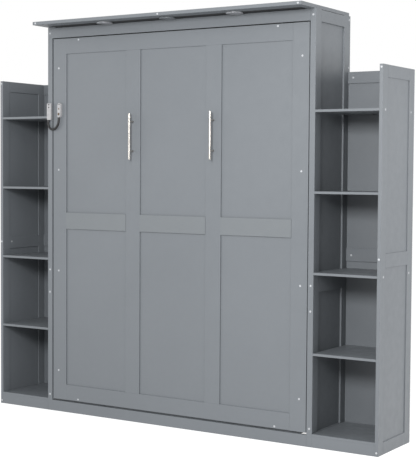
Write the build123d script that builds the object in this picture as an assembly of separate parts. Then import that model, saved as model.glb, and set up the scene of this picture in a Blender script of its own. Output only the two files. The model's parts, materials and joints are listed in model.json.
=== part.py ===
from build123d import *
from math import atan2, degrees, hypot, pi, radians, tan
import os

# Queen-size vertical wall bed in a frame-and-panel cabinet with an open shelf tower on each side.
# +X is to the right seen from the room, +Y is towards the wall and +Z is up, in millimetres.
# The origin is on the floor, in the middle of the overall box. A depth is measured back from the
# plane of the cabinet's front edges, so depth 0 is that plane and DEPTH is the wall.

os.makedirs("parts", exist_ok=True)

# Cabinet
CABINET_HALF = 858.0           # centre line to the outer face of a cabinet side
SIDE_BOARD = 31.0
SIDE_HEIGHT = 2196.0
DEPTH = 388.0
BOARD = 18.0                   # crown, fascia, plinth and rear boards
CROWN_HALF = 850.0             # centre line to a crown end, a little inside the cabinet's sides
CROWN_REACH = 142.0            # how far the crown stands out in front of the cabinet
CROWN_EDGE = 1.5
WIRE_GROOVE_DEPTHS = (-58.0, -1.0)
WIRE_GROOVE_DEEP = 4.0
WIRE_COVER_RECESS = 0.5
PLINTH_HEIGHT = 60.0
FASCIA = (2135.0, 2193.0)      # its top stops short of the crown and leaves a shadow gap
SHADOW_GAP_HALF = 803.0        # the gap ends at a block in each corner
SIDE_STILES = (60.0, 66.0)     # front and rear
SIDE_RAILS = ((0.0, 70.0), (780.0, 882.0), (2134.0, 2192.0))
SIDE_RECESS = 9.5
INNER_HALF = CABINET_HALF - SIDE_BOARD
EDGE_BREAK = 0.8

# Lamps under the crown
LAMP_RADIUS = 44.0
LAMP_HEIGHT = 6.5
LAMP_NECK_RADIUS = 39.0
LAMP_NECK = 1.5
LAMP_RIM = 7.0
LAMP_LENS_RECESS = 0.8
LAMP_LENS_THICK = 2.5
LENS_GAP = 0.2
LAMP_FORWARD = 50.0
LAMP_SPACING = 415.0

# Rear boards
FIXING_RAIL = (1906.0, 2196.0)
CROSS_RAILS = ((20.0, 140.0), (1000.0, 1100.0))
FIXING_HOLE_RADIUS = 4.0
FIXING_HOLE_X = 600.0
FIXING_HOLE_HEIGHTS = (1980.0, 2120.0)

# Shelf towers
TOWER_HALF = 1221.0            # centre line to a tower's outer face
TOWER_BOARD = 18.0
TOWER_HEIGHT = 1906.0
TOWER_STILES = (60.0, 65.0)
TOWER_RAILS = ((0.0, 62.0), (919.0, 988.0), (1846.0, 1906.0))
TOWER_PANEL = 9.0
BACK_PANEL = 6.0
SHELF_BOARD = 12.0
SHELF_TOPS = (476.0, 882.0, 1288.0, 1694.0)
KICK_HEIGHT = 56.0

# Bed face
FACE_HALF = 821.0
FACE_BOTTOM = 70.0
FACE_TOP = 2130.0
FACE_FRONT = 4.0               # depth of the face's front
FACE_STILE = 94.0
MIDDLE_STILE_X = 260.0
MIDDLE_STILE_HALF = 47.5
FACE_BOTTOM_RAIL = 158.0
FACE_TOP_RAIL = 2043.0
FACE_MID_RAIL = (1052.0, 1145.0)
MID_RAIL_PROUD = 1.5
FACE_PANEL_RECESS = 6.0
FACE_PANEL_THICK = 8.0
FACE_BACK = FACE_FRONT + BOARD

# Handles
HANDLE_SPAN = (1446.0, 1698.0)
HANDLE_POSTS = (1492.0, 1652.0)
HANDLE_RADIUS = 6.0
HANDLE_POST_RADIUS = 5.0
HANDLE_STANDOFF = 35.0
HANDLE_EDGE = 0.8

# Bed frame
FRAME_HALF = 784.0
FRAME_DEEP = 142.0
FRAME_ENDS = (58.0, 2130.0)
LEDGE_WIDE = 22.0
LEDGE_DEPTHS = (70.0, 95.0)
SLAT_THICK = 15.0
SLAT_WIDE = 70.0
SLAT_COUNT = 12
SLAT_ROOM = 1.0                # clearance at each end of a slat
SLAT_EDGE = 2.0
BEAM_WIDE = 40.0
STRAP_WIDE = 40.0
STRAP_THICK = 2.0
STRAP_GAP = 0.3
STRAP_HEIGHTS = (742.5, 1618.0)

# Pivot, and the ironwork in the gap beside the bed frame
PIVOT = (130.0, 300.0)         # depth and height of the fold axis
PLATE = 5.0
PLATE_EDGE = 2.0
PIVOT_PLATE_HALF = (60.0, 75.0)
PIVOT_PIN_RADIUS = 8.0
RUNNING_GAP = 0.05
BUSH_RADIUS = 15.0
BUSH_LONG = 10.0

# Side view of a hinge arm, as depth and height: a plate on the side rail, and a tail that carries
# the strut's lower eye
ARM_OUTLINE = (
    (34.0, 176.0), (34.0, 424.0), (136.0, 424.0), (166.0, 322.0), (258.0, 214.0),
    (258.0, 182.0), (244.0, 172.0), (216.0, 172.0), (136.0, 214.0), (120.0, 176.0),
)

# Gas struts: one eye on the cabinet, one on the arm
STRUT_TOP = (200.0, 930.0)
STRUT_FOOT = (236.0, 194.0)
STRUT_X = 805.0
STRUT_RADIUS = 11.0
STRUT_ROD_RADIUS = 5.0
STRUT_BORE_RADIUS = 5.08
STRUT_NECK = 14.0
STRUT_BARREL_END = 414.0       # distance of the barrel's mouth from the top eye
STRUT_BORE_TOP = 130.0
STRUT_ROD_TOP = 354.0
STRUT_EYE_RADIUS = 9.0
STRUT_EYE_HALF = 8.0
STRUT_PIN_RADIUS = 5.0
STRUT_OVERLAP = 2.0            # how far a neck or rod starts from its eye's centre
STRUT_PIN_PAST = 3.0           # the anchor's pin stands this far past the eye
STRUT_STUD_SHORT = 2.5         # the arm's stud stops this far short of the eye
STRUT_ANCHOR_HALF = (22.0, 35.0)
STUD_COLLAR_RADIUS = 12.0
STUD_COLLAR = 2.0

# Legs
LEG_PIVOT = (122.0, 2120.0)
LEG_X = 800.0
LEG_SIDE = 20.0
LEG_HEAD = 9.0
LEG_LONG = 286.5
LEG_EDGE = 1.5
FOOT_LONG = 10.0
FOOT_SIDE = 20.8
LEG_PIN_RADIUS = 4.0
LEG_PLATE = 4.0
LEG_PLATE_HALF = 14.0
LEG_PLATE_DROP = 26.0
PIN_HEAD_RADIUS = 7.0
PIN_HEAD = (0.6, 3.0)          # the head of a leg's pin, measured out from the leg

# Safety cable lock
ANCHOR_PLATE = ((-856.5, -827.5), (-12.0, 0.0), (1672.5, 1766.5))
LOCK_X = (-780.0, -757.0)
LOCK_DEPTHS = (-12.5, 4.0)
LOCK_BOTTOM = 1685.0
LOCK_TOP = 1766.0
BARREL_RADIUS = 6.5
BARREL_DEPTHS = (-15.0, -4.0)
BARREL_SEAT = 0.1              # clearance behind the barrel
BARREL_HEIGHT = 1704.0
KEY_SLOT = (2.0, 9.0, 3.0)     # wide, tall and deep
CABLE_RADIUS = 6.0
CABLE_DEPTH = -7.8
CABLE_ROUTE = (
    (-773.0, 1685.0), (-773.0, 1661.0), (-781.8, 1638.4), (-796.4, 1623.3), (-813.9, 1617.0),
    (-831.0, 1619.6), (-844.5, 1631.0), (-850.5, 1647.0), (-849.5, 1662.5),
)
ARC_SHARE = 0.45               # of the shorter run beside each corner of the route
FERRULE_RADIUS = 7.0
FERRULE_LONG = 8.5

# Screw caps
CAP_RADIUS = 5.5
CAP_HEIGHT = 1.2
CROWN_CAPS = (-831.0, 0.0, 831.0)
CABINET_EDGE_CAPS = (93.0, 686.0, 815.0, 2164.0)
CABINET_SIDE_CAPS = (1928.0, 2175.0)
CABINET_SIDE_CAP_DEPTH = 374.0
TOWER_EDGE_CAPS = (17.5, 963.0, 1891.0)
TOWER_SIDE_CAP_DEPTHS = (35.0, 346.0)
TOWER_INNER_CAP = (78.0, 960.0)
TOWER_BACK_CAPS = (950.0, 1876.0)
TOWER_BACK_CAP_X = 887.0
FACE_END_CAP_X = 640.0
FACE_END_CAPS = (80.6, 2119.0)
FACE_SIDE_CAP_X = 781.6
FACE_SIDE_CAPS = (237.0, 811.0, 1388.0, 1964.0)

FRONT_Y = -(DEPTH - CROWN_REACH - CAP_HEIGHT) / 2
SIDES = (("left", -1), ("right", 1))


def save(name, parts):
    """Write one sub-part, as one solid or as a group of separate solids."""
    solids = [solid for part in parts for solid in part.solids()]
    export_step(Compound(solids), f"parts/{name}.step")


def block(x_range, depth_range, z_range, edge=EDGE_BREAK):
    """A squared board whose long edges are broken by a small chamfer."""
    ranges = (x_range, depth_range, z_range)
    sizes = [high - low for low, high in ranges]
    centre = [(low + high) / 2 for low, high in ranges]
    board = Pos(centre[0], FRONT_Y + centre[1], centre[2]) * Box(*sizes)
    if edge:
        grain = (Axis.X, Axis.Y, Axis.Z)[sizes.index(max(sizes))]
        board = chamfer(board.edges().filter_by(grain), edge)
    return board


def round_bar(axis, radius, low, high, across):
    """A cylinder along a row axis from low to high; across holds its place on the other two."""
    middle = (low + high) / 2
    first, second = across
    if axis == "X":
        place = Pos(middle, FRONT_Y + first, second) * Rot(Y=90)
    elif axis == "Y":
        place = Pos(first, FRONT_Y + middle, second) * Rot(X=90)
    else:
        place = Pos(first, FRONT_Y + second, middle)
    return place * Cylinder(radius, high - low)


def across(side, near, far):
    """The X range between two distances from the centre line, on the left or right."""
    return tuple(sorted((side * near, side * far)))


def on_side(side, part):
    """A part modelled on the right, or its mirror image for the left."""
    return part if side > 0 else mirror(part, about=Plane.YZ)


def between(spans):
    """The gaps between neighbouring ranges."""
    return [(low[1], high[0]) for low, high in zip(spans, spans[1:])]


def cabinet_sides():
    """Each side is a frame of two stiles and three rails, with panels set back on the outside.

    A small block in its top front corner closes the end of the shadow gap.
    """
    front_stile, rear_stile = SIDE_STILES
    rail_depths = (front_stile, DEPTH - rear_stile)
    for name, side in SIDES:
        x_range = across(side, INNER_HALF, CABINET_HALF)
        panel_x = across(side, INNER_HALF, CABINET_HALF - SIDE_RECESS)
        frame = [block(x_range, (0, front_stile), (0, SIDE_HEIGHT))]
        frame.append(block(x_range, (DEPTH - rear_stile, DEPTH), (0, SIDE_HEIGHT)))
        frame += [block(x_range, rail_depths, rail) for rail in SIDE_RAILS]
        corner_x = across(side, SHADOW_GAP_HALF, INNER_HALF)
        frame.append(block(corner_x, (0, BOARD), (FASCIA[1], SIDE_HEIGHT), 0))
        save(f"cabinet_{name}_frame", frame)
        panels = [block(panel_x, rail_depths, gap) for gap in between(SIDE_RAILS)]
        save(f"cabinet_{name}_panels", panels)


def cabinet_boards():
    """Crown, fascia and plinth, and the boards across the back that hold the cabinet square.

    A black cover fills the groove under the crown where the lamps' wires run.
    """
    inner = (-INNER_HALF, INNER_HALF)
    crown_z = (SIDE_HEIGHT, SIDE_HEIGHT + BOARD)
    crown = block((-CROWN_HALF, CROWN_HALF), (-CROWN_REACH, DEPTH), crown_z, CROWN_EDGE)
    groove_x = (-SHADOW_GAP_HALF, SHADOW_GAP_HALF)
    groove_top = SIDE_HEIGHT + WIRE_GROOVE_DEEP
    crown -= block(groove_x, WIRE_GROOVE_DEPTHS, (SIDE_HEIGHT - 1, groove_top), 0)
    save("crown_board", [crown])
    cover_z = (SIDE_HEIGHT + WIRE_COVER_RECESS, groove_top)
    save("crown_wire_cover", [block(groove_x, WIRE_GROOVE_DEPTHS, cover_z, 0)])
    save("fascia_rail", [block(inner, (0, BOARD), FASCIA)])
    save("plinth_board", [block(inner, (0, BOARD), (0, PLINTH_HEIGHT))])
    rear = (DEPTH - BOARD, DEPTH)
    fixing_rail = block(inner, rear, FIXING_RAIL)
    for height in FIXING_HOLE_HEIGHTS:
        for x in (-FIXING_HOLE_X, FIXING_HOLE_X):
            fixing_rail -= round_bar("Y", FIXING_HOLE_RADIUS, rear[0] - 1, rear[1] + 1, (x, height))
    save("wall_fixing_rail", [fixing_rail])
    save("rear_cross_rails", [block(inner, rear, rail) for rail in CROSS_RAILS])


def puck(place):
    """A round housing under the crown: a flange on a narrower neck, at an X and depth."""
    bottom = SIDE_HEIGHT - LAMP_HEIGHT
    neck_bottom = SIDE_HEIGHT - LAMP_NECK
    flange = round_bar("Z", LAMP_RADIUS, bottom, neck_bottom, place)
    return flange + round_bar("Z", LAMP_NECK_RADIUS, neck_bottom, SIDE_HEIGHT, place)


def crown_lamps():
    """Two surface-mounted lamps under the crown, with a blank sensor housing between them."""
    bottom = SIDE_HEIGHT - LAMP_HEIGHT
    lens_radius = LAMP_RADIUS - LAMP_RIM
    lens_z = (bottom + LAMP_LENS_RECESS, bottom + LAMP_LENS_RECESS + LAMP_LENS_THICK)
    housings = []
    lenses = []
    for x in (-LAMP_SPACING, LAMP_SPACING):
        place = (x, -LAMP_FORWARD)
        housings.append(puck(place) - round_bar("Z", lens_radius, bottom - 1, lens_z[1], place))
        lenses.append(round_bar("Z", lens_radius - LENS_GAP, *lens_z, place))
    save("crown_lamp_housings", housings)
    save("crown_lamp_lenses", lenses)
    save("crown_sensor", [puck((0, -LAMP_FORWARD))])


def tower_sides():
    """Each tower's outer side: stiles, rails and thin panels in the middle of its thickness."""
    front_stile, rear_stile = TOWER_STILES
    rail_depths = (front_stile, DEPTH - rear_stile)
    setback = (TOWER_BOARD - TOWER_PANEL) / 2
    for name, side in SIDES:
        x_range = across(side, TOWER_HALF - TOWER_BOARD, TOWER_HALF)
        panel_x = across(side, TOWER_HALF - TOWER_BOARD + setback, TOWER_HALF - setback)
        frame = [block(x_range, (0, front_stile), (0, TOWER_HEIGHT))]
        frame.append(block(x_range, (DEPTH - rear_stile, DEPTH), (0, TOWER_HEIGHT)))
        frame += [block(x_range, rail_depths, rail) for rail in TOWER_RAILS]
        save(f"{name}_tower_side_frame", frame)
        panels = [block(panel_x, rail_depths, gap) for gap in between(TOWER_RAILS)]
        save(f"{name}_tower_side_panels", panels)


def tower_backs_and_shelves():
    """Back rails and panels, four shelves, a base shelf and the kick board below it."""
    rear = (DEPTH - BOARD, DEPTH)
    panel_front = DEPTH - (BOARD + BACK_PANEL) / 2
    kick_boards = []
    for name, side in SIDES:
        inside = across(side, CABINET_HALF, TOWER_HALF - TOWER_BOARD)
        panel_depths = (panel_front, panel_front + BACK_PANEL)
        save(f"{name}_tower_back_rails", [block(inside, rear, rail) for rail in TOWER_RAILS])
        panels = [block(inside, panel_depths, gap, 0) for gap in between(TOWER_RAILS)]
        save(f"{name}_tower_back_panels", panels)
        shelves = [block(inside, (0, panel_front), (top - SHELF_BOARD, top)) for top in SHELF_TOPS]
        shelves.append(block(inside, (0, rear[0]), (KICK_HEIGHT, KICK_HEIGHT + SHELF_BOARD)))
        save(f"{name}_tower_shelves", shelves)
        kick_boards.append(block(inside, (0, BOARD), (0, KICK_HEIGHT)))
    save("tower_kick_boards", kick_boards)


def bed_face():
    """The face: full-height outer stiles, two middle stiles, end rails, mid rails and six panels."""
    depths = (FACE_FRONT, FACE_BACK)
    outer = FACE_HALF - FACE_STILE
    middle_gap = MIDDLE_STILE_X - MIDDLE_STILE_HALF
    middle_far = MIDDLE_STILE_X + MIDDLE_STILE_HALF
    stiles = []
    for name, side in SIDES:
        stiles.append(block(across(side, outer, FACE_HALF), depths, (FACE_BOTTOM, FACE_TOP)))
        stiles.append(block(across(side, middle_gap, middle_far), depths, (FACE_BOTTOM_RAIL, FACE_TOP_RAIL)))
    save("face_stiles", stiles)
    end_rails = ((FACE_BOTTOM, FACE_BOTTOM_RAIL), (FACE_TOP_RAIL, FACE_TOP))
    save("face_end_rails", [block((-outer, outer), depths, rail) for rail in end_rails])
    columns = ((-outer, -middle_far), (-middle_gap, middle_gap), (middle_far, outer))
    rail_depths = (FACE_FRONT - MID_RAIL_PROUD, FACE_BACK)
    save("face_mid_rails", [block(column, rail_depths, FACE_MID_RAIL) for column in columns])
    panel_front = FACE_FRONT + FACE_PANEL_RECESS
    panel_depths = (panel_front, panel_front + FACE_PANEL_THICK)
    rows = ((FACE_BOTTOM_RAIL, FACE_MID_RAIL[0]), (FACE_MID_RAIL[1], FACE_TOP_RAIL))
    save("face_panels", [block(column, panel_depths, row) for column in columns for row in rows])


def handles():
    """A round bar on two posts, on each middle stile."""
    bar_depth = FACE_FRONT - HANDLE_STANDOFF
    for name, side in SIDES:
        x = side * MIDDLE_STILE_X
        bar = round_bar("Z", HANDLE_RADIUS, *HANDLE_SPAN, (x, bar_depth))
        bar = chamfer(bar.edges().filter_by(GeomType.CIRCLE), HANDLE_EDGE)
        posts = [round_bar("Y", HANDLE_POST_RADIUS, bar_depth, FACE_FRONT, (x, z)) for z in HANDLE_POSTS]
        save(f"handle_{name}", [bar, *[post - bar for post in posts]])


def bed_frame():
    """Side and end rails, centre beam, slat ledges, slats and two straps that hold the mattress."""
    rail_inner = FRAME_HALF - BOARD
    depths = (FACE_BACK, FRAME_DEEP)
    bottom, top = FRAME_ENDS
    inside_z = (bottom + BOARD, top - BOARD)
    side_rails = [block(across(side, rail_inner, FRAME_HALF), depths, FRAME_ENDS) for _, side in SIDES]
    save("bed_side_rails", side_rails)
    ends = ((bottom, inside_z[0]), (inside_z[1], top))
    save("bed_end_rails", [block((-rail_inner, rail_inner), depths, end) for end in ends])
    beam = block((-BEAM_WIDE / 2, BEAM_WIDE / 2), (FACE_BACK, LEDGE_DEPTHS[1]), inside_z)
    save("bed_centre_beam", [beam])
    ledge = rail_inner - LEDGE_WIDE
    ledges = [block(across(side, ledge, rail_inner), LEDGE_DEPTHS, inside_z) for _, side in SIDES]
    save("slat_ledges", ledges)
    slat_half = rail_inner - SLAT_ROOM
    slat_depths = (LEDGE_DEPTHS[1], LEDGE_DEPTHS[1] + SLAT_THICK)
    pitch = (inside_z[1] - inside_z[0]) / SLAT_COUNT
    centres = [inside_z[0] + pitch * (number + 0.5) for number in range(SLAT_COUNT)]
    slat_z = [(z - SLAT_WIDE / 2, z + SLAT_WIDE / 2) for z in centres]
    save("slats", [block((-slat_half, slat_half), slat_depths, z, SLAT_EDGE) for z in slat_z])
    strap_front = slat_depths[1] + STRAP_GAP
    strap_depths = (strap_front, strap_front + STRAP_THICK)
    strap_z = [(z - STRAP_WIDE / 2, z + STRAP_WIDE / 2) for z in STRAP_HEIGHTS]
    save("mattress_straps", [block((-slat_half, slat_half), strap_depths, z, 0) for z in strap_z])


def plate_from(outline, x_low, x_high):
    """A flat plate with a given side view, between two X places."""
    points = [(FRONT_Y + depth, z) for depth, z in outline]
    face = make_face(Polyline(*points, close=True))
    return extrude(Plane.YZ.offset(x_low) * face, x_high - x_low)


def pivots():
    """The bed's arms turn on pins that stand out of plates on the cabinet's sides."""
    depth, height = PIVOT
    hole = PIVOT_PIN_RADIUS + RUNNING_GAP
    arm_outer = FRAME_HALF + PLATE
    plate_inner = INNER_HALF - PLATE
    arm = plate_from(ARM_OUTLINE, FRAME_HALF, arm_outer)
    arm += round_bar("X", BUSH_RADIUS, arm_outer, arm_outer + BUSH_LONG, PIVOT)
    arm -= round_bar("X", hole, FRAME_HALF - 1, arm_outer + BUSH_LONG + 1, PIVOT)
    half_deep, half_tall = PIVOT_PLATE_HALF
    plate_z = (height - half_tall, height + half_tall)
    plate = block((plate_inner, INNER_HALF), (depth - half_deep, depth + half_deep), plate_z, PLATE_EDGE)
    plate += round_bar("X", PIVOT_PIN_RADIUS, FRAME_HALF + 1, plate_inner, PIVOT)
    for name, side in SIDES:
        save(f"{name}_hinge_arm", [on_side(side, arm)])
        save(f"{name}_pivot_plate", [on_side(side, plate)])


def strut_place(part):
    """Stand a strut part, modelled hanging straight down from its top eye, along the strut."""
    run = STRUT_FOOT[0] - STRUT_TOP[0]
    drop = STRUT_TOP[1] - STRUT_FOOT[1]
    lean = degrees(atan2(run, drop))
    return Pos(STRUT_X, FRONT_Y + STRUT_TOP[0], STRUT_TOP[1]) * Rot(X=lean) * part


def pin_hole(drop):
    """The hole for a strut's pin, along X, below the top eye."""
    return Pos(0, 0, -drop) * Rot(Y=90) * Cylinder(STRUT_PIN_RADIUS + RUNNING_GAP, 4 * STRUT_EYE_HALF)


def strut_eye(drop):
    """A round eye with its hole along X."""
    eye = Pos(0, 0, -drop) * Rot(Y=90) * Cylinder(STRUT_EYE_RADIUS, 2 * STRUT_EYE_HALF)
    return eye - pin_hole(drop)


def upright(radius, top, bottom):
    """A cylinder hanging between two drops below the strut's top eye."""
    return Pos(0, 0, -(top + bottom) / 2) * Cylinder(radius, bottom - top)


def strut_barrel():
    """The barrel, bored for the rod, with its neck and top eye."""
    neck = upright(STRUT_ROD_RADIUS, STRUT_OVERLAP, STRUT_NECK) - pin_hole(0)
    barrel = upright(STRUT_RADIUS, STRUT_NECK, STRUT_BARREL_END)
    barrel -= upright(STRUT_BORE_RADIUS, STRUT_BORE_TOP, STRUT_BARREL_END + 1)
    return barrel + neck + strut_eye(0)


def strut_rod():
    """The rod and its lower eye."""
    length = hypot(STRUT_FOOT[0] - STRUT_TOP[0], STRUT_FOOT[1] - STRUT_TOP[1])
    rod = upright(STRUT_ROD_RADIUS, STRUT_ROD_TOP, length - STRUT_OVERLAP)
    return rod - pin_hole(length) + strut_eye(length)


def struts():
    """Gas struts: a barrel pinned to the cabinet, and a rod that ends beside the arm's stud."""
    barrel = strut_place(strut_barrel())
    rod = strut_place(strut_rod())
    plate_inner = INNER_HALF - PLATE
    depth, height = STRUT_TOP
    half_deep, half_tall = STRUT_ANCHOR_HALF
    anchor_z = (height - half_tall, height + half_tall)
    anchor = block((plate_inner, INNER_HALF), (depth - half_deep, depth + half_deep), anchor_z, PLATE_EDGE)
    pin_end = STRUT_X - STRUT_EYE_HALF - STRUT_PIN_PAST
    anchor += round_bar("X", STRUT_PIN_RADIUS, pin_end, plate_inner, STRUT_TOP)
    collar = FRAME_HALF + PLATE
    stud = round_bar("X", STUD_COLLAR_RADIUS, collar, collar + STUD_COLLAR, STRUT_FOOT)
    stud_end = STRUT_X - STRUT_EYE_HALF - STRUT_STUD_SHORT
    stud += round_bar("X", STRUT_PIN_RADIUS, collar + STUD_COLLAR, stud_end, STRUT_FOOT)
    for name, side in SIDES:
        save(f"{name}_strut_barrel", [on_side(side, barrel)])
        save(f"{name}_strut_rod", [on_side(side, rod)])
        save(f"{name}_strut_anchor", [on_side(side, anchor)])
        save(f"{name}_strut_stud", [on_side(side, stud)])


def legs():
    """A square leg on a pin in each top corner of the bed frame, stowed pointing down."""
    depth, height = LEG_PIVOT
    half = LEG_SIDE / 2
    leg_x = (LEG_X - half, LEG_X + half)
    leg_z = (height - LEG_LONG, height + LEG_HEAD)
    leg = block(leg_x, (depth - half, depth + half), leg_z, LEG_EDGE)
    leg -= round_bar("X", LEG_PIN_RADIUS + RUNNING_GAP, leg_x[0] - 1, leg_x[1] + 1, LEG_PIVOT)
    foot_half = FOOT_SIDE / 2
    foot_x = (LEG_X - foot_half, LEG_X + foot_half)
    foot_z = (leg_z[0] - FOOT_LONG, leg_z[0])
    foot = block(foot_x, (depth - foot_half, depth + foot_half), foot_z, LEG_EDGE)
    plate_x = (FRAME_HALF, FRAME_HALF + LEG_PLATE)
    plate_z = (height - LEG_PLATE_DROP, height + LEG_HEAD)
    pivot = block(plate_x, (depth - LEG_PLATE_HALF, depth + LEG_PLATE_HALF), plate_z)
    head = (leg_x[1] + PIN_HEAD[0], leg_x[1] + PIN_HEAD[1])
    pivot += round_bar("X", LEG_PIN_RADIUS, plate_x[1], head[0], LEG_PIVOT)
    pivot += round_bar("X", PIN_HEAD_RADIUS, *head, LEG_PIVOT)
    save("leg_pivots", [on_side(side, pivot) for _, side in SIDES])
    for name, side in SIDES:
        save(f"{name}_leg", [on_side(side, leg)])
        save(f"{name}_leg_foot", [on_side(side, foot)])


def cable_path():
    """The cable's route: straight runs joined by arcs as large as the runs allow."""
    points = [(x, FRONT_Y + CABLE_DEPTH, z) for x, z in CABLE_ROUTE]
    radii = []
    for before, corner, after in zip(points, points[1:], points[2:]):
        first = Vector(*corner) - Vector(*before)
        second = Vector(*after) - Vector(*corner)
        half_turn = radians(first.get_angle(second)) / 2
        radii.append(ARC_SHARE * min(first.length, second.length) / tan(half_turn))
    print("cable radii", [round(radius, 1) for radius in radii])
    return FilletPolyline(*points, radius=radii)


def cable_lock():
    """A lock on the bed's face, and a short cable whose loose end locks under the anchor plate."""
    save("lock_anchor_plate", [block(*ANCHOR_PLATE, PLATE_EDGE)])
    centre_x = sum(LOCK_X) / 2
    round_top = (LOCK_X[1] - LOCK_X[0]) / 2
    plate = block(LOCK_X, LOCK_DEPTHS, (LOCK_BOTTOM, LOCK_TOP - round_top), 0)
    plate += round_bar("Y", round_top, *LOCK_DEPTHS, (centre_x, LOCK_TOP - round_top))
    seat = (centre_x, BARREL_HEIGHT)
    seat_depths = (LOCK_DEPTHS[0] - 1, BARREL_DEPTHS[1] + BARREL_SEAT)
    plate -= round_bar("Y", BARREL_RADIUS + RUNNING_GAP, *seat_depths, seat)
    save("lock_plate", [plate])
    barrel = round_bar("Y", BARREL_RADIUS, *BARREL_DEPTHS, seat)
    key_wide, key_tall, key_deep = KEY_SLOT
    key_x = (centre_x - key_wide / 2, centre_x + key_wide / 2)
    key_z = (BARREL_HEIGHT - key_tall / 2, BARREL_HEIGHT + key_tall / 2)
    barrel -= block(key_x, (BARREL_DEPTHS[0] - 1, BARREL_DEPTHS[0] + key_deep), key_z, 0)
    save("lock_barrel", [barrel])
    path = cable_path()
    section = Plane(origin=path @ 0, z_dir=path % 0) * Circle(CABLE_RADIUS)
    cable = sweep(section, path=path)
    expected = path.length * pi * CABLE_RADIUS ** 2
    print("cable length", round(path.length, 1), "volume ratio", round(cable.volume / expected, 4))
    save("lock_cable", [cable])
    tip = Plane(origin=path @ 1, z_dir=path % 1)
    ferrule = tip * Pos(0, 0, FERRULE_LONG / 2) * Cylinder(FERRULE_RADIUS, FERRULE_LONG)
    save("lock_cable_ferrule", [ferrule])


def cap(axis, sign, surface, place):
    """A screw cap on a surface that faces along an axis."""
    low, high = sorted((surface, surface + sign * CAP_HEIGHT))
    return round_bar(axis, CAP_RADIUS, low, high, place)


def screw_caps():
    """White caps over the assembly screws, on the carcass and on the bed's face."""
    edge_x = CABINET_HALF - SIDE_BOARD / 2
    tower_x = TOWER_HALF - TOWER_BOARD / 2
    shelf_lines = [SHELF_TOPS[row] - SHELF_BOARD / 2 for row in (1, 3)]
    side_places = [(depth, z) for depth in TOWER_SIDE_CAP_DEPTHS for z in shelf_lines]
    upper_places = [(CABINET_SIDE_CAP_DEPTH, z) for z in CABINET_SIDE_CAPS]
    caps = [cap("Y", -1, -CROWN_REACH, (x, SIDE_HEIGHT + BOARD / 2)) for x in CROWN_CAPS]
    face_caps = []
    for _, side in SIDES:
        caps += [cap("Y", -1, 0, (side * edge_x, z)) for z in CABINET_EDGE_CAPS]
        caps += [cap("Y", -1, 0, (side * tower_x, z)) for z in TOWER_EDGE_CAPS]
        caps += [cap("X", side, side * TOWER_HALF, place) for place in side_places]
        caps += [cap("X", side, side * CABINET_HALF, place) for place in upper_places]
        caps += [cap("Y", -1, DEPTH - BOARD, (side * TOWER_BACK_CAP_X, z)) for z in TOWER_BACK_CAPS]
        caps.append(cap("X", -side, side * (TOWER_HALF - TOWER_BOARD), TOWER_INNER_CAP))
        face_caps += [cap("Y", -1, FACE_FRONT, (side * FACE_END_CAP_X, z)) for z in FACE_END_CAPS]
        face_caps += [cap("Y", -1, FACE_FRONT, (side * FACE_SIDE_CAP_X, z)) for z in FACE_SIDE_CAPS]
    save("carcass_screw_caps", caps)
    save("face_screw_caps", face_caps)


cabinet_sides()
cabinet_boards()
crown_lamps()
tower_sides()
tower_backs_and_shelves()
bed_face()
handles()
bed_frame()
pivots()
struts()
legs()
cable_lock()
screw_caps()
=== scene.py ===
import json
import math

import bmesh
import bpy
from mathutils import Matrix, Quaternion, Vector


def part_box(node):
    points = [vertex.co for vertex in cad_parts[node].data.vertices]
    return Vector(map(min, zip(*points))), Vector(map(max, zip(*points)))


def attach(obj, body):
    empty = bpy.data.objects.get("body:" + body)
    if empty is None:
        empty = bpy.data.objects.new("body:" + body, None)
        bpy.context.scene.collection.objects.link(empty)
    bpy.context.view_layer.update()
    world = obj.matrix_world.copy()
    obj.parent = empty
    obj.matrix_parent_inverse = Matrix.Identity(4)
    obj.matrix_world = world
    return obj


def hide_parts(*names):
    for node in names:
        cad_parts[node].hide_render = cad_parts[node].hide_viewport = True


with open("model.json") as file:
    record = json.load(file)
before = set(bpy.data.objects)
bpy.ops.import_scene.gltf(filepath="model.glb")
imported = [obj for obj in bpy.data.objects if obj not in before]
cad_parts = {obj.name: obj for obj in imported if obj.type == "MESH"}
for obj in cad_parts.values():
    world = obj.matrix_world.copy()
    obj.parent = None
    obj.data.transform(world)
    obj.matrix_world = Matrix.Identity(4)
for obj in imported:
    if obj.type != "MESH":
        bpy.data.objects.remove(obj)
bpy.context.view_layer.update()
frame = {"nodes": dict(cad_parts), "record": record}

MM = 0.001
FRONT_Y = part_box("fascia_rail")[0].y          # the plane of the cabinet's front edges

# Camera: its place in metres, its angles in degrees and its lens in millimetres
CAMERA_PLACE = (3.6154, FRONT_Y - 5.3250, 1.3841)
CAMERA_YAW = 32.427
CAMERA_PITCH = 2.773
CAMERA_ROLL = 0.366
CAMERA_LENS = 94.08

# Safety cable. Its route is in millimetres: across, and height
CABLE_ROUTE = (
    (-773.0, 1685.0), (-773.0, 1661.0), (-781.8, 1638.4), (-796.4, 1623.3), (-813.9, 1617.0),
    (-831.0, 1619.6), (-844.5, 1631.0), (-850.5, 1647.0), (-849.5, 1662.5),
)
CABLE_FORWARD = 7.8                            # millimetres in front of the cabinet's front plane
CABLE_DIAMETER = 12 * MM

# Heads of screws, plugs and bolts: radius, and height
ANCHOR_SCREW = (4.2 * MM, 0.9 * MM)
ANCHOR_DIMPLE = (2.6 * MM, 0.6 * MM)
LOCK_SCREW = (2.6 * MM, 0.9 * MM)
STRAP_SCREW = (5.0 * MM, 1.4 * MM)
SLAT_SCREW = (3.6 * MM, 1.1 * MM)
ARM_BOLT = (5.5 * MM, 3.0 * MM)
PLATE_BOLT = (5.5 * MM, 3.6 * MM)
ANCHOR_BOLT = (4.0 * MM, 3.0 * MM)

# Screw caps
CAP_REACH = 14 * MM                            # a cap's points are nearer to each other than this
INNER_FACE_REACH = 5 * MM                      # a cap this near to a tower side's inner face is on it

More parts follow.
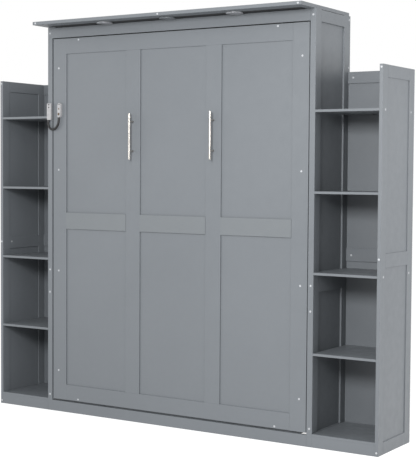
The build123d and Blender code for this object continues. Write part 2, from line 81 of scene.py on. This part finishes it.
# Cable lock. Drops are from a plate's top, and rises from its bottom
LOCK_BEVEL = 2.2 * MM
LOCK_FOOT = 1.3                                # the foot's width, in half widths of the lock
BARREL_GAP = 0.2 * MM
ANCHOR_CORNER = 3 * MM
ANCHOR_BEVEL = 2.0 * MM
ANCHOR_SCREW_DROPS = (7.5 * MM, 23.0 * MM)
ANCHOR_DIMPLE_DROPS = (45.0 * MM, 57.0 * MM)
LOCK_SCREW_DROP = 8 * MM
LOCK_SCREW_SPREAD = 4.4 * MM
RELEASE_PIN_RISE = 48.5 * MM

# Straps
STRAP_WIDE = 40 * MM
STRAP_STEPS = 120
STRAP_RIPPLE = 0.18                            # share of its thickness
STRAP_RIPPLE_TURN = 0.55                       # radians between steps
STRAP_SCREW_INSET = 14 * MM

# Slats, ironwork and struts
SLATS = 12
SLAT_HALF = 35 * MM
SLAT_SCREW_INSET = 11 * MM
IRON_PLATE = 5 * MM
ARM_BOLT_DEPTHS = (26 * MM, 80 * MM)
ARM_BOLT_DROPS = (24 * MM, 150 * MM)
PLATE_BOLT_INSET = 18 * MM
ANCHOR_BOLT_INSET = 10 * MM
STRUT_RADIUS = 11 * MM
STRUT_MOUTH = 0.414                            # from the top eye to the barrel's mouth
STRUT_CRIMP = 22 * MM                          # from the top eye to the crimped collar

# Profiles of turned pieces: across, and up. These two are shares of a radius and a height
CAP_PROFILE = (
    (0, 0), (0.97, 0), (1, 0.2), (0.96, 0.5), (0.84, 0.62),
    (0.79, 0.56), (0.72, 0.70), (0.5, 0.90), (0.25, 0.98), (0, 1),
)
SCREW_PROFILE = ((0, 0), (1, 0), (1, 0.45), (0.88, 0.85), (0.62, 1), (0.46, 1), (0.38, 0.35), (0, 0.35))

# These are in millimetres. The barrel rim's radii are added to its hole's, the crimp's to the strut's
BARREL_RIM_PROFILE = ((0, 0), (2.2, 0), (1.9, 1.0), (0.9, 1.5), (0, 1.2), (0, 0))
RELEASE_PIN_PROFILE = ((0, 0), (4.2, 0), (4.2, 0.6), (3.0, 1.0), (2.8, 1.8), (2.0, 2.3), (0, 2.4))
STRUT_SEAL_PROFILE = (
    (5.3, -16), (11.0, -16), (11.6, -14), (11.6, -3), (11.0, -1),
    (9.6, 0.8), (6.2, 1.8), (5.3, 1.0), (5.3, -16),
)
STRUT_CRIMP_PROFILE = ((0, 0), (0.5, 1), (0.5, 5), (0, 6))

# A strap's section, as shares of its width and thickness
STRAP_SECTION = (
    (0.0, 0.35), (0.012, 0.9), (0.04, 1.0), (0.5, 0.93), (0.96, 1.0),
    (0.988, 0.9), (1.0, 0.35), (0.988, 0.0), (0.5, 0.0), (0.012, 0.0),
)

# Stage. Each light has a name, a place, what it points at, its side in metres and its power in watts
FLOOR_HALF = 40                                # metres from its middle to an edge
FLOOR_GLOW = 0.72                              # emission strength
LIGHTS = (
    ("front_light", (1.4, -4.4, 2.5), (0.4, 0, 1.1), 0.9, 222),
    ("high_front_light", (1.4, -4.4, 4.6), (0.4, 0, 1.1), 1.3, 54),
    ("near_right_light", (2.8, -4.0, 2.2), (0.0, 0, 1.1), 0.9, 24),
    ("right_light", (3.5, 0.3, 1.7), (1.2, 0, 1.1), 1.3, 60),
    ("left_light", (-4.0, -2.0, 2.0), (-1.0, 0, 1.1), 1.3, 24),
)

SIDES = (("left", -1), ("right", 1))


def linear(*rgb):
    """An sRGB colour, 0 to 255, as linear RGBA."""
    parts = []
    for value in rgb:
        share = value / 255
        parts.append(share / 12.92 if share <= 0.04045 else ((share + 0.055) / 1.055) ** 2.4)
    return (*parts, 1.0)


# ---- camera and cord ----

def make_camera():
    """The camera stands in front, well to the right, a little above the middle of the face."""
    camera = bpy.data.objects.new("camera", bpy.data.cameras.new("camera"))
    bpy.context.scene.collection.objects.link(camera)
    yaw = math.radians(CAMERA_YAW)
    pitch = math.radians(CAMERA_PITCH)
    level_x = -math.sin(yaw) * math.cos(pitch)
    level_y = math.cos(yaw) * math.cos(pitch)
    ahead = Vector((level_x, level_y, -math.sin(pitch)))
    camera.rotation_mode = "QUATERNION"
    level = ahead.to_track_quat("-Z", "Y")
    camera.rotation_quaternion = level @ Quaternion((0, 0, 1), math.radians(CAMERA_ROLL))
    camera.location = CAMERA_PLACE
    camera.data.lens = CAMERA_LENS
    camera.data.clip_start = 0.1
    camera.data.clip_end = 100
    bpy.context.scene.camera = camera


def make_cable():
    """The lock's short cable hangs in a slack loop from the lock on the face to the anchor plate.

    Its bevel is 1 m, and each point's radius scales that down to the cable's own.
    """
    curve = bpy.data.curves.new("safety_cable", "CURVE")
    curve.dimensions = "3D"
    curve.bevel_depth = 1.0
    curve.bevel_resolution = 6
    curve.use_fill_caps = True
    spline = curve.splines.new("NURBS")
    spline.points.add(len(CABLE_ROUTE) - 1)
    for point, (x, z) in zip(spline.points, CABLE_ROUTE):
        point.co = (x * MM, FRONT_Y - CABLE_FORWARD * MM, z * MM, 1)
        point.radius = CABLE_DIAMETER / 2
    spline.order_u = 3
    spline.use_endpoint_u = True
    spline.resolution_u = 12
    cable = bpy.data.objects.new("safety_cable", curve)
    bpy.context.scene.collection.objects.link(cable)
    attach(cable, "bed")
    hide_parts("lock_cable")
    return cable


# ---- materials ----

class Finish:
    """A Principled material whose colour, roughness and bump come from nodes in the row frame's metres."""

    def __init__(self, name, metallic=0.0, ior=1.5):
        self.material = bpy.data.materials.new(name)
        self.material.use_nodes = True
        self.tree = self.material.node_tree
        self.shader = self.tree.nodes["Principled BSDF"]
        self.shader.inputs["Metallic"].default_value = metallic
        self.shader.inputs["IOR"].default_value = ior
        self.place = self.node("ShaderNodeTexCoord").outputs["Object"]

    def node(self, kind, inputs=(), **settings):
        made = self.tree.nodes.new(kind)
        for name, value in settings.items():
            setattr(made, name, value)
        for name, value in dict(inputs).items():
            self.feed(made.inputs[name], value)
        return made

    def feed(self, socket, value):
        if isinstance(value, bpy.types.NodeSocket):
            self.tree.links.new(value, socket)
        else:
            socket.default_value = value

    def stretched(self, stretch):
        """The place, multiplied along each axis."""
        return self.node("ShaderNodeMapping", {"Vector": self.place, "Scale": stretch}).outputs["Vector"]

    def noise(self, scale, detail=2.0, stretch=(1, 1, 1), distortion=0.0):
        inputs = {"Vector": self.stretched(stretch), "Scale": scale, "Detail": detail}
        inputs["Distortion"] = distortion
        return self.node("ShaderNodeTexNoise", inputs).outputs["Fac"]

    def speckle(self, scale):
        inputs = {"Vector": self.place, "Scale": scale}
        return self.node("ShaderNodeTexVoronoi", inputs).outputs["Distance"]

    def waves(self, scale, axis, distortion=0.0, detail=2.0):
        inputs = {"Vector": self.place, "Scale": scale, "Distortion": distortion, "Detail": detail}
        return self.node("ShaderNodeTexWave", inputs, bands_direction=axis).outputs["Fac"]

    def maths(self, operation, first, second):
        made = self.node("ShaderNodeMath", operation=operation)
        self.feed(made.inputs[0], first)
        self.feed(made.inputs[1], second)
        return made.outputs[0]

    def span(self, value, low, high, start=0.3, end=0.7):
        """value, taken from start..end to low..high."""
        inputs = {"Value": value, "From Min": start, "From Max": end, "To Min": low, "To Max": high}
        return self.node("ShaderNodeMapRange", inputs).outputs["Result"]

    def between(self, factor, low, high):
        """A colour between two, by factor."""
        made = self.node("ShaderNodeMix", data_type="RGBA")
        self.feed(made.inputs["Factor"], factor)
        self.feed(made.inputs[6], low)
        self.feed(made.inputs[7], high)
        return made.outputs[2]

    def colour(self, value):
        self.feed(self.shader.inputs["Base Color"], value)

    def roughness(self, value):
        self.feed(self.shader.inputs["Roughness"], value)

    def bump(self, *layers):
        """Each layer is a height and how many metres deep it is."""
        normal = None
        for height, depth in layers:
            made = self.node("ShaderNodeBump", {"Height": height, "Strength": 1.0, "Distance": depth})
            if normal is not None:
                self.feed(made.inputs["Normal"], normal)
            normal = made.outputs["Normal"]
        self.feed(self.shader.inputs["Normal"], normal)


def paint(name, dark, light):
    """Satin grey paint: broad, faint unevenness, the stipple of a roller, and soft brush drag."""
    finish = Finish(name)
    cloud = finish.noise(1.6, 3)
    mottle = finish.noise(38, 4)
    tone = finish.maths("ADD", finish.span(cloud, 0.0, 0.75), finish.span(mottle, 0.0, 0.25))
    finish.colour(finish.between(tone, linear(*dark), linear(*light)))
    finish.roughness(finish.span(finish.noise(22, 3), 0.40, 0.50))
    stipple = finish.noise(520, 2)
    drag = finish.noise(60, 2, (6, 6, 0.5))
    finish.bump((stipple, 0.00004), (drag, 0.00004))
    return finish.material


def planed_wood():
    """Bare softwood with its grain along X: bands, fine fibres and a few darker streaks."""
    finish = Finish("slat_wood")
    rings = finish.noise(5, 4, (0.35, 5.0, 5.0), 1.2)
    fibres = finish.noise(60, 5, (0.4, 9.0, 9.0))
    board = finish.noise(7, 0, (0.05, 0.4, 1.0))
    tone = finish.maths("ADD", finish.span(rings, 0.0, 0.6), finish.span(fibres, 0.0, 0.4))
    grain = finish.between(tone, linear(176, 136, 92), linear(219, 188, 143))
    shade = finish.between(finish.span(board, 0, 1), linear(198, 160, 116), linear(226, 200, 160))
    mixed = finish.node("ShaderNodeMix", data_type="RGBA", blend_type="MULTIPLY")
    finish.feed(mixed.inputs["Factor"], 0.35)
    finish.feed(mixed.inputs[6], grain)
    finish.feed(mixed.inputs[7], shade)
    finish.colour(mixed.outputs[2])
    finish.roughness(finish.span(fibres, 0.50, 0.68))
    finish.bump((fibres, 0.00018), (rings, 0.00012))
    return finish.material


def brushed_nickel():
    """Satin nickel, brushed round the bar."""
    finish = Finish("satin_nickel", metallic=1.0)
    lines = finish.noise(900, 3, (0.15, 0.15, 1.0))
    cloud = finish.noise(30, 2)
    shade = finish.span(cloud, 0, 1)
    finish.colour(finish.between(shade, linear(158, 154, 149), linear(176, 172, 167)))
    finish.roughness(finish.span(lines, 0.24, 0.36))
    finish.bump((lines, 0.00001))
    return finish.material


def powder_coat():
    """Black powder coat with its fine orange peel."""
    finish = Finish("black_steel")
    cloud = finish.noise(12, 3)
    finish.colour(finish.between(finish.span(cloud, 0, 1), linear(26, 26, 28), linear(36, 36, 38)))
    finish.roughness(finish.span(finish.noise(90, 2), 0.42, 0.58))
    finish.bump((finish.noise(1400, 2), 0.00004))
    return finish.material


def chrome():
    """Ground and chromed rod, with faint lengthwise polishing marks."""
    finish = Finish("rod_chrome", metallic=1.0)
    marks = finish.noise(700, 2, (1, 1, 0.04))
    cloud = finish.span(finish.noise(40), 0, 1)
    finish.colour(finish.between(cloud, linear(205, 206, 208), linear(226, 227, 229)))
    finish.roughness(finish.span(marks, 0.08, 0.16))
    finish.bump((marks, 0.000004))
    return finish.material


def moulded(name, dark, light, rough, grain=900):
    """Moulded plastic or enamel: nearly even colour over a fine spark-eroded texture."""
    finish = Finish(name, ior=1.46)
    cloud = finish.noise(45, 3)
    finish.colour(finish.between(finish.span(cloud, 0, 1), linear(*dark), linear(*light)))
    finish.roughness(finish.span(finish.noise(140, 2), rough - 0.05, rough + 0.05))
    finish.bump((finish.noise(grain, 2), 0.00002))
    return finish.material


def bronzed_brass():
    """Dark bronzed brass, its lacquer worn in small patches."""
    finish = Finish("lock_brass", metallic=0.6)
    wear = finish.noise(420, 4)
    finish.colour(finish.between(finish.span(wear, 0, 1), linear(74, 62, 52), linear(108, 92, 76)))
    finish.roughness(finish.span(wear, 0.52, 0.38))
    finish.bump((finish.noise(900, 2), 0.00003))
    return finish.material


def diffuser():
    """Opal diffuser with shallow pressed dimples, their hollows painted darker: painted shade that follows
    the bump.
    """
    finish = Finish("lamp_lens", ior=1.46)
    dimples = finish.speckle(420)
    # The dimples' hollows take the darker colour: painted shade in the recesses
    shade = finish.span(dimples, 0, 1, 0, 1)
    finish.colour(finish.between(shade, linear(112, 114, 118), linear(128, 130, 134)))
    finish.roughness(finish.span(finish.noise(60), 0.30, 0.42))
    finish.bump((dimples, 0.00008))
    return finish.material


def rubber(name, dark, light, rough):
    """Black rubber or vinyl, dull and slightly dusty."""
    finish = Finish(name, ior=1.48)
    dust = finish.noise(160, 4)
    finish.colour(finish.between(finish.span(dust, 0, 1), linear(*dark), linear(*light)))
    finish.roughness(finish.span(finish.noise(50, 2), rough - 0.06, rough + 0.06))
    finish.bump((finish.noise(1100, 3), 0.00004))
    return finish.material


def webbing():
    """Elastic webbing: ribs along X crossed by the weave."""
    finish = Finish("strap_webbing")
    ribs = finish.waves(420, "Z", 0.4)
    picks = finish.waves(330, "X", 0.4)
    weave = finish.maths("MULTIPLY", ribs, picks)
    finish.colour(finish.between(weave, linear(18, 18, 20), linear(48, 48, 51)))
    finish.roughness(finish.span(weave, 0.95, 0.75, 0, 1))
    finish.bump((weave, 0.0004))
    finish.shader.inputs["Sheen Weight"].default_value = 0.25
    return finish.material


MATERIALS = {
    "painted_wood": paint("grey_paint", (86, 90, 94), (90, 94, 98)),
    "slat_wood": planed_wood(),
    "satin_nickel": brushed_nickel(),
    "black_steel": powder_coat(),
    "rod_chrome": chrome(),
    "cap_plastic": moulded("cap_plastic", (142, 144, 147), (156, 158, 161), 0.36),
    "lock_body": moulded("lock_body", (128, 128, 130), (142, 142, 143), 0.42),
    "lock_brass": bronzed_brass(),
    "lamp_metal": moulded("lamp_metal", (122, 124, 128), (136, 138, 142), 0.34),
    "lamp_lens": diffuser(),
    "foot_rubber": rubber("foot_rubber", (22, 22, 22), (36, 36, 35), 0.72),
    # Near-black cover strip under the crown: painted shade, standing in for the deep shadow in the slot in
    # front of the fascia
    "wire_cover": moulded("wire_cover", (14, 14, 15), (22, 22, 23), 0.55),
    "cable_jacket": rubber("cable_jacket", (12, 12, 13), (20, 20, 21), 0.58),
    "strap_webbing": webbing(),
}


def dress(piece, slot):
    """Give a piece the one material of a slot."""
    piece.data.materials.clear()
    piece.data.materials.append(MATERIALS[slot])


def dress_frame():
    """Each CAD node takes the material of its own slot, and the mid rails a slightly lighter copy of the
    paint: a painted sheen, where they catch more light than the panels.
    """
    for part in frame["record"]["subparts"]:
        dress(frame["nodes"][part["node"]], part["material_slot"])
    mid_rails = frame["nodes"]["face_mid_rails"].data
    # A lighter copy of the grey paint on the mid rails: painted sheen, not a paint of their own
    mid_rails.materials[0] = paint("mid_rail_painted_sheen", (88, 92, 95), (92, 96, 99))


# ---- mesh pieces ----

def new_piece(name, build, body, slot, smooth=40):
    """A mesh made by build(bmesh), riding on a body. Edges sharper than smooth, in degrees, stay crisp."""
    mesh = bpy.data.meshes.new(name)
    shape = bmesh.new()
    build(shape)
    bmesh.ops.recalc_face_normals(shape, faces=shape.faces)
    shape.to_mesh(mesh)
    shape.free()
    piece = bpy.data.objects.new(name, mesh)
    bpy.context.scene.collection.objects.link(piece)
    mesh.shade_smooth()
    mesh.set_sharp_from_angle(angle=math.radians(smooth))
    dress(piece, slot)
    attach(piece, body)
    return piece


def turned(shape, profile, place, direction, steps=32):
    """Add a turned shape. Its profile is (radius, height) points, and a radius of 0 is on the axis."""
    turn = Vector((0, 0, 1)).rotation_difference(Vector(direction)).to_matrix().to_4x4()
    move = Matrix.Translation(Vector(place)) @ turn
    rings = []
    for radius, height in profile:
        if radius == 0:
            rings.append([shape.verts.new(move @ Vector((0, 0, height)))])
            continue
        angles = [2 * math.pi * step / steps for step in range(steps)]
        points = [Vector((radius * math.cos(a), radius * math.sin(a), height)) for a in angles]
        rings.append([shape.verts.new(move @ point) for point in points])
    for lower, upper in zip(rings, rings[1:]):
        for step in range(steps):
            following = (step + 1) % steps
            if len(lower) == 1:
                shape.faces.new((lower[0], upper[step], upper[following]))
            elif len(upper) == 1:
                shape.faces.new((lower[step], lower[following], upper[0]))
            else:
                shape.faces.new((lower[step], lower[following], upper[following], upper[step]))


def clusters(node, reach):
    """The box of each separate solid in a node of small, well separated solids."""
    found = []
    for vertex in frame["nodes"][node].data.vertices:
        home = next((box for box in found if (box["seed"] - vertex.co).length < reach), None)
        if home is None:
            home = {"seed": vertex.co.copy(), "low": vertex.co.copy(), "high": vertex.co.copy()}
            found.append(home)
        home["low"] = Vector(map(min, home["low"], vertex.co))
        home["high"] = Vector(map(max, home["high"], vertex.co))
    return [(box["low"], box["high"]) for box in found]


def scaled(profile, radius, tall):
    """A profile of shares, at a size."""
    return [(radius * across, tall * up) for across, up in profile]


def outward(low, high):
    """The way a screw cap faces, and the middle of its foot."""
    size = high - low
    middle = (low + high) / 2
    if size.y < size.x:
        return Vector((0, -1, 0)), Vector((middle.x, high.y, middle.z))
    side = math.copysign(1, middle.x)
    tower_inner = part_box("right_tower_side_frame")[0].x
    inward = abs(abs(middle.x) - tower_inner) < INNER_FACE_REACH
    direction = Vector((-side if inward else side, 0, 0))
    foot_x = low.x if direction.x > 0 else high.x
    return direction, Vector((foot_x, middle.y, middle.z))


def make_caps(node, body, name):
    """Domed cover caps with a rounded rim and a shallow ring round the dome."""
    boxes = clusters(node, CAP_REACH)
    low, high = boxes[0]
    profile = scaled(CAP_PROFILE, max(high - low) / 2, min(high - low))

    def build(shape):
        for low, high in boxes:
            direction, foot = outward(low, high)
            turned(shape, profile, foot, direction)

    piece = new_piece(name, build, body, "cap_plastic")
    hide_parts(node)


def screw_head(shape, place, direction, radius, tall):
    """A pan head with a round recess in it."""
    turned(shape, scaled(SCREW_PROFILE, radius, tall), place, direction, 24)


def hex_bolt(shape, place, direction, radius, tall):
    """A hexagon head with a chamfered crown, on a washer."""
    washer = tall * 0.25
    rim = radius * 1.45
    washer_profile = [(0, 0), (rim, 0), (rim, washer * 0.7), (rim * 0.96, washer), (0, washer)]
    turned(shape, washer_profile, place, direction)
    foot = Vector(place) + Vector(direction) * washer
    head = tall - washer
    head_profile = [(0, 0), (radius, 0), (radius, head * 0.75), (radius * 0.84, head), (0, head)]
    turned(shape, head_profile, foot, direction, 6)


def prism(shape, outline, low, high, bevel):
    """A plate between two Y values, its outline in (x, z) points, with a bevel on its front edges.

    The bevel thins out to nothing where a straight edge meets an arc.
    """
    front = [shape.verts.new((x, low, z)) for x, z in outline]
    back = [shape.verts.new((x, high, z)) for x, z in outline]
    shape.faces.new(front)
    shape.faces.new(back[::-1])
    for index in range(len(outline)):
        following = (index + 1) % len(outline)
        shape.faces.new((front[index], back[index], back[following], front[following]))
    rim = [shape.edges.get((front[index - 1], front[index])) for index in range(len(outline))]
    bmesh.ops.bevel(shape, geom=rim, offset=bevel, segments=4, profile=0.5, affect="EDGES")


def arc(centre, radius, start, end, steps):
    """Points of an arc in the X-Z plane, its angles in degrees."""
    angles = [math.radians(start + (end - start) * step / steps) for step in range(steps + 1)]
    return [(centre[0] + radius * math.cos(a), centre[1] + radius * math.sin(a)) for a in angles]


# ---- cable lock ----

def make_lock_cover():
    """The lock's housing: a round top, its lower right corner cut away, and a rim round the barrel."""
    low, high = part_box("lock_plate")
    radius = (high.x - low.x) / 2
    middle = (low.x + high.x) / 2
    outline = [(low.x, low.z), (low.x + radius * LOCK_FOOT, low.z), (high.x, low.z + radius)]
    outline += arc((middle, high.z - radius), radius, 0, 180, 16)
    barrel_low, barrel_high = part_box("lock_barrel")
    barrel_z = (barrel_low.z + barrel_high.z) / 2
    hole = (barrel_high.x - barrel_low.x) / 2 + BARREL_GAP
    rim = [(hole + wide * MM, tall * MM) for wide, tall in BARREL_RIM_PROFILE]

    def build(shape):
        prism(shape, outline, low.y, high.y, LOCK_BEVEL)
        turned(shape, rim, (middle, low.y, barrel_z), (0, -1, 0))

    cover = new_piece("lock_cover", build, "bed", "lock_body")
    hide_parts("lock_plate")


def make_anchor_cover():
    """The anchor plate's moulding, with rounded corners."""
    low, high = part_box("lock_anchor_plate")
    left, right = low.x + ANCHOR_CORNER, high.x - ANCHOR_CORNER
    bottom, top = low.z + ANCHOR_CORNER, high.z - ANCHOR_CORNER
    corners = ((right, top), (left, top), (left, bottom), (right, bottom))
    outline = []
    for number, centre in enumerate(corners):
        outline += arc(centre, ANCHOR_CORNER, 90 * number, 90 * number + 90, 5)

    def build(shape):
        prism(shape, outline, low.y, high.y, ANCHOR_BEVEL)

    cover = new_piece("anchor_cover", build, "cabinet", "lock_body")
    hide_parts("lock_anchor_plate")


def front_screws(name, places, head, body, slot):
    """A piece made of screw heads that face the room, one at each place."""
    def build(shape):
        for place in places:
            screw_head(shape, place, (0, -1, 0), *head)

    new_piece(name, build, body, slot)


def make_anchor_fixings():
    """Two dark screws at the top of the anchor plate, and two pale dimpled plugs further down."""
    low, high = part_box("lock_anchor_plate")
    middle = (low.x + high.x) / 2
    screws = [(middle, low.y, high.z - drop) for drop in ANCHOR_SCREW_DROPS]
    plugs = [(middle, low.y, high.z - drop) for drop in ANCHOR_DIMPLE_DROPS]
    front_screws("anchor_screws", screws, ANCHOR_SCREW, "cabinet", "black_steel")
    front_screws("anchor_dimples", plugs, ANCHOR_DIMPLE, "cabinet", "lock_body")


def make_lock_fixings():
    """Two dark screws side by side at the lock's top, and the release pin below them."""
    low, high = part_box("lock_plate")
    middle = (low.x + high.x) / 2
    across = (middle - LOCK_SCREW_SPREAD, middle + LOCK_SCREW_SPREAD)
    screws = [(x, low.y, high.z - LOCK_SCREW_DROP) for x in across]
    front_screws("lock_screws", screws, LOCK_SCREW, "bed", "black_steel")
    profile = [(wide * MM, tall * MM) for wide, tall in RELEASE_PIN_PROFILE]

    def release_pin(shape):
        turned(shape, profile, (middle, low.y, low.z + RELEASE_PIN_RISE), (0, -1, 0))

    new_piece("lock_release_pin", release_pin, "bed", "lock_brass")


# ---- straps ----

def strap_rings(low, high, bottom):
    """The strap's section at even steps across the slats, its thickness rising and falling a little."""
    rings = []
    for step in range(STRAP_STEPS + 1):
        x = low.x + (high.x - low.x) * step / STRAP_STEPS
        ripple = 1 - STRAP_RIPPLE * (0.5 + 0.5 * math.sin(step * STRAP_RIPPLE_TURN))
        thick = (high.y - low.y) * ripple
        rings.append([(x, low.y + up * thick, bottom + share * STRAP_WIDE) for share, up in STRAP_SECTION])
    return rings


def loft(shape, rings):
    """A closed solid through rings of points."""
    rings = [[shape.verts.new(point) for point in ring] for ring in rings]
    for before, after in zip(rings, rings[1:]):
        for index in range(len(before)):
            following = (index + 1) % len(before)
            shape.faces.new((before[index], after[index], after[following], before[following]))
    shape.faces.new(rings[0])
    shape.faces.new(rings[-1][::-1])


def make_straps():
    """Two woven bands across the slats, with rounded selvedges and a gentle ripple, and their screws."""
    low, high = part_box("mattress_straps")
    for name, bottom in (("lower_strap", low.z), ("upper_strap", high.z - STRAP_WIDE)):
        rings = strap_rings(low, high, bottom)
        strap = new_piece(name, lambda shape: loft(shape, rings), "bed", "strap_webbing")
        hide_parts("mattress_straps")

    def screws(shape):
        for x in (low.x + STRAP_SCREW_INSET, high.x - STRAP_SCREW_INSET):
            for z in (low.z + STRAP_WIDE / 2, high.z - STRAP_WIDE / 2):
                screw_head(shape, (x, high.y, z), (0, 1, 0), *STRAP_SCREW)

    new_piece("strap_screws", screws, "bed", "satin_nickel")


# ---- fixings ----

def make_slat_screws():
    """Three screws in each slat: one near each end and one in the middle."""
    low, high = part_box("slats")
    pitch = (high.z - low.z - 2 * SLAT_HALF) / (SLATS - 1)

    def build(shape):
        for number in range(SLATS):
            z = low.z + SLAT_HALF + pitch * number
            for x in (low.x + SLAT_SCREW_INSET, 0.0, high.x - SLAT_SCREW_INSET):
                screw_head(shape, (x, high.y, z), (0, 1, 0), *SLAT_SCREW)

    new_piece("slat_screws", build, "bed", "satin_nickel")


def make_ironwork_bolts():
    """Hexagon bolts through the hinge arms, pivot plates and strut anchors."""
    for name, side in SIDES:
        arm_low, arm_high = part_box(f"{name}_hinge_arm")
        plate_low, plate_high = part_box(f"{name}_pivot_plate")
        anchor_low, anchor_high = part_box(f"{name}_strut_anchor")
        plate_inner = side * (max(abs(plate_low.x), abs(plate_high.x)) - IRON_PLATE)
        arm_outer = side * (min(abs(arm_low.x), abs(arm_high.x)) + IRON_PLATE)

        def arm_bolts(shape):
            for depth in ARM_BOLT_DEPTHS:
                for drop in ARM_BOLT_DROPS:
                    place = (arm_outer, arm_low.y + depth, arm_high.z - drop)
                    hex_bolt(shape, place, (side, 0, 0), *ARM_BOLT)

        def plate_bolts(shape):
            for y in (plate_low.y + PLATE_BOLT_INSET, plate_high.y - PLATE_BOLT_INSET):
                for z in (plate_low.z + PLATE_BOLT_INSET, plate_high.z - PLATE_BOLT_INSET):
                    hex_bolt(shape, (plate_inner, y, z), (-side, 0, 0), *PLATE_BOLT)
            for z in (anchor_low.z + ANCHOR_BOLT_INSET, anchor_high.z - ANCHOR_BOLT_INSET):
                y = (anchor_low.y + anchor_high.y) / 2
                hex_bolt(shape, (plate_inner, y, z), (-side, 0, 0), *ANCHOR_BOLT)

        new_piece(f"{name}_arm_bolts", arm_bolts, "bed", "rod_chrome", 25)
        new_piece(f"{name}_plate_bolts", plate_bolts, "cabinet", "rod_chrome", 25)


def make_strut_trim():
    """A wiper seal at each barrel's mouth, and a crimped collar, an open band, near its top eye."""
    joints = {joint["name"]: joint for joint in frame["record"]["behaviour"]["joints"]}
    seal = [(r * MM, h * MM) for r, h in STRUT_SEAL_PROFILE]
    crimp = [(STRUT_RADIUS + r * MM, h * MM) for r, h in STRUT_CRIMP_PROFILE]
    for name, _ in SIDES:
        top = Vector(joints[f"{name}_strut_swing"]["pos_m"])
        inward = Vector(joints[f"{name}_strut_slide"]["axis"]).normalized()
        down = -inward if inward.z > 0 else inward

        def build(shape):
            turned(shape, seal, top + down * STRUT_MOUTH, down)
            turned(shape, crimp, top + down * STRUT_CRIMP, down)

        new_piece(f"{name}_strut_seal", build, f"{name}_strut_barrel", "foot_rubber")


# ---- stage ----

def make_floor():
    """A plain pale floor that glows, so that it stays white under the object."""
    mesh = bpy.data.meshes.new("floor")
    corners = [(x * FLOOR_HALF, y * FLOOR_HALF, 0) for x, y in ((-1, -1), (1, -1), (1, 1), (-1, 1))]
    mesh.from_pydata(corners, [], [(0, 1, 2, 3)])
    floor = bpy.data.objects.new("floor", mesh)
    bpy.context.scene.collection.objects.link(floor)
    finish = Finish("floor")
    tone = finish.span(finish.noise(0.8, 2), 0, 1)
    finish.colour(finish.between(tone, linear(148, 148, 148), linear(152, 152, 152)))
    finish.roughness(0.9)
    finish.shader.inputs["Specular IOR Level"].default_value = 0.0
    finish.shader.inputs["Emission Color"].default_value = (1, 1, 1, 1)
    finish.shader.inputs["Emission Strength"].default_value = FLOOR_GLOW
    mesh.materials.append(finish.material)


def area_light(name, place, target, side, power):
    """A square soft light that the camera doesn't see."""
    light = bpy.data.lights.new(name, "AREA")
    light.shape = "RECTANGLE"
    light.size = side
    light.size_y = side
    light.energy = power
    lamp = bpy.data.objects.new(name, light)
    bpy.context.scene.collection.objects.link(lamp)
    lamp.location = place
    lamp.rotation_mode = "QUATERNION"
    lamp.rotation_quaternion = (Vector(target) - Vector(place)).to_track_quat("-Z", "Y")
    lamp.visible_camera = False


def make_light():
    """A white surround, with soft lights in front to the right, on the right and on the left."""
    world = bpy.data.worlds.new("studio")
    bpy.context.scene.world = world
    world.use_nodes = True
    surround = world.node_tree.nodes["Background"]
    surround.inputs["Color"].default_value = (1, 1, 1, 1)
    surround.inputs["Strength"].default_value = 1.0
    for light in LIGHTS:
        area_light(*light)
    bpy.context.scene.view_settings.view_transform = "Standard"


make_camera()
cable = make_cable()
dress_frame()
dress(cable, "cable_jacket")
make_caps("carcass_screw_caps", "cabinet", "carcass_cap_domes")
make_caps("face_screw_caps", "bed", "face_cap_domes")
make_lock_cover()
make_anchor_cover()
make_anchor_fixings()
make_lock_fixings()
make_straps()
make_slat_screws()
make_ironwork_bolts()
make_strut_trim()
make_floor()
make_light()
